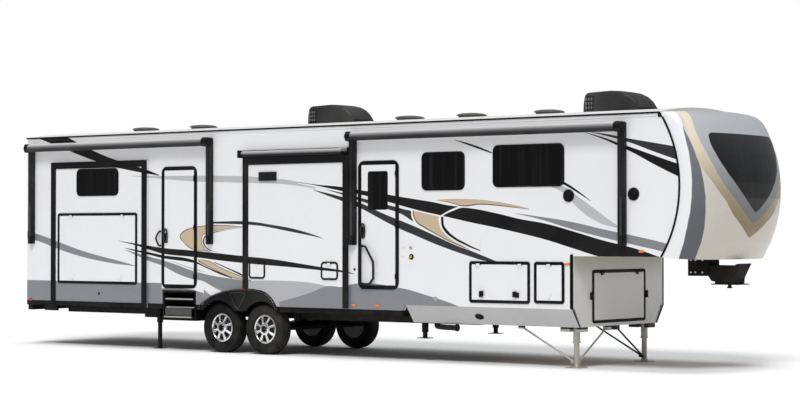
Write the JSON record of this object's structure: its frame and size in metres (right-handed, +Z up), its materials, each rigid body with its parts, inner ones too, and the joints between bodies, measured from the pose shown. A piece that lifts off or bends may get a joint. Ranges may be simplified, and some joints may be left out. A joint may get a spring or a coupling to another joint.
{
  "type": "fifth wheel trailer",
  "caption": "Long fifth wheel travel trailer parked on its wheels and front landing legs, with slide-out rooms, hinged doors and hatches, stored awnings and a pin box under its raised nose",
  "frame": {"origin": "Centre of the bounding box in X and Y, on the ground plane that the tyres and landing legs stand on.", "axes": "+X points forward to the raised nose, +Y to the trailer's left side, and +Z up."},
  "size_m": [13.3514, 2.808, 3.88],
  "materials": {
    "wall_gelcoat": "gloss",
    "cap_gelcoat": "gloss",
    "grey_panel": "satin",
    "black_trim": "satin",
    "tinted_glass": "gloss",
    "tyre_rubber": "matt",
    "wheel_alloy": "satin",
    "chassis_black": "satin",
    "bare_metal": "satin",
    "awning_metal": "satin",
    "black_plastic": "matt",
    "red_lens": "gloss",
    "amber_lens": "gloss",
    "floor_panel": "matt",
    "roof_membrane": "matt"
  },
  "bodies": {
    "trailer": {"right_wall": "wall_gelcoat", "left_wall": "wall_gelcoat", "rear_wall": "wall_gelcoat", "roof": "roof_membrane", "main_floor": "floor_panel", "deck_floor": "floor_panel", "nose_wall": "cap_gelcoat", "front_cap": "cap_gelcoat", "chamfer_skirts": "grey_panel", "edge_trims": "black_trim", "fender_skirts": "black_plastic", "frame_rails": "chassis_black", "crossmembers": "chassis_black", "underbelly": "black_plastic", "axles": "chassis_black", "leaf_springs": "chassis_black", "landing_legs": "bare_metal", "leg_braces": "bare_metal", "stabilizer_jacks": "chassis_black", "pin_box": "chassis_black", "bumper": "chassis_black", "ladder": "bare_metal", "tail_lamps": "red_lens", "marker_lamps": "amber_lens", "window_frames": "black_trim", "window_glass": "tinted_glass", "door_frames": "black_trim", "rear_awning": "awning_metal", "front_awning": "awning_metal", "air_conditioners": "black_plastic", "roof_vents": "black_plastic", "entry_step": "chassis_black", "wall_fittings": "black_trim"},
    "wheel_rear_right": {"tyre_rear_right": "tyre_rubber", "rim_rear_right": "wheel_alloy"},
    "wheel_front_right": {"tyre_front_right": "tyre_rubber", "rim_front_right": "wheel_alloy"},
    "wheel_rear_left": {"tyre_rear_left": "tyre_rubber", "rim_rear_left": "wheel_alloy"},
    "wheel_front_left": {"tyre_front_left": "tyre_rubber", "rim_front_left": "wheel_alloy"},
    "rear_entry": {"rear_entry_door": "wall_gelcoat"},
    "front_entry": {"front_entry_door": "wall_gelcoat", "front_entry_glass": "tinted_glass"},
    "wide_cargo": {"wide_cargo_door": "wall_gelcoat"},
    "narrow_cargo": {"narrow_cargo_door": "wall_gelcoat"},
    "left_cargo": {"left_cargo_door": "wall_gelcoat"},
    "nose_hatch": {"nose_door": "cap_gelcoat"},
    "rear_room": {"rear_slide": "wall_gelcoat", "rear_slide_trim": "black_trim", "rear_slide_glass": "tinted_glass"},
    "galley": {"galley_hatch": "wall_gelcoat"},
    "middle_room": {"middle_slide": "wall_gelcoat", "middle_slide_trim": "black_trim"},
    "access_a": {"access_door_a": "wall_gelcoat"},
    "access_b": {"access_door_b": "wall_gelcoat"},
    "left_room": {"left_slide": "wall_gelcoat", "left_slide_trim": "black_trim", "left_slide_glass": "tinted_glass"}
  },
  "joints": [
    {"name": "rear_right_wheel_spin", "type": "hinge", "parent": "trailer", "child": "wheel_rear_right", "pos_m": [-2.06282, -1.09, 0.391], "axis": [0, 1, 0], "continuous": true},
    {"name": "front_right_wheel_spin", "type": "hinge", "parent": "trailer", "child": "wheel_front_right", "pos_m": [-1.16782, -1.09, 0.391], "axis": [0, 1, 0], "continuous": true},
    {"name": "rear_left_wheel_spin", "type": "hinge", "parent": "trailer", "child": "wheel_rear_left", "pos_m": [-2.06282, 1.09, 0.391], "axis": [0, 1, 0], "continuous": true},
    {"name": "front_left_wheel_spin", "type": "hinge", "parent": "trailer", "child": "wheel_front_left", "pos_m": [-1.16782, 1.09, 0.391], "axis": [0, 1, 0], "continuous": true},
    {"name": "rear_entry_hinge", "type": "hinge", "parent": "trailer", "child": "rear_entry", "pos_m": [-2.59882, -1.243, 1.96], "axis": [0, 0, 1], "range_deg": [0, 110]},
    {"name": "front_entry_hinge", "type": "hinge", "parent": "trailer", "child": "front_entry", "pos_m": [1.44118, -1.243, 1.9875], "axis": [0, 0, 1], "range_deg": [0, 110]},
    {"name": "wide_cargo_hinge", "type": "hinge", "parent": "trailer", "child": "wide_cargo", "pos_m": [3.27318, -1.243, 1.428], "axis": [-1, 0, 0], "range_deg": [0, 95]},
    {"name": "narrow_cargo_hinge", "type": "hinge", "parent": "trailer", "child": "narrow_cargo", "pos_m": [4.11318, -1.243, 1.428], "axis": [-1, 0, 0], "range_deg": [0, 95]},
    {"name": "left_cargo_hinge", "type": "hinge", "parent": "trailer", "child": "left_cargo", "pos_m": [3.27318, 1.243, 1.428], "axis": [1, 0, 0], "range_deg": [0, 95]},
    {"name": "nose_hatch_hinge", "type": "hinge", "parent": "trailer", "child": "nose_hatch", "pos_m": [4.50618, 0, 1.313], "axis": [0, -1, 0], "range_deg": [0, 90]},
    {"name": "rear_room_travel", "type": "slide", "parent": "trailer", "child": "rear_room", "axis": [0, -1, 0], "range_m": [0, 0.5]},
    {"name": "middle_room_travel", "type": "slide", "parent": "trailer", "child": "middle_room", "axis": [0, -1, 0], "range_m": [0, 0.5]},
    {"name": "left_room_travel", "type": "slide", "parent": "trailer", "child": "left_room", "axis": [0, 1, 0], "range_m": [0, 0.5]},
    {"name": "galley_hinge", "type": "hinge", "parent": "rear_room", "child": "galley", "pos_m": [-4.80682, -1.279, 2.158], "axis": [-1, 0, 0], "range_deg": [0, 90]},
    {"name": "access_a_hinge", "type": "hinge", "parent": "middle_room", "child": "access_a", "pos_m": [-1.28182, -1.279, 1.412], "axis": [-1, 0, 0], "range_deg": [0, 90]},
    {"name": "access_b_hinge", "type": "hinge", "parent": "middle_room", "child": "access_b", "pos_m": [0.16818, -1.279, 1.412], "axis": [-1, 0, 0], "range_deg": [0, 90]}
  ]
}
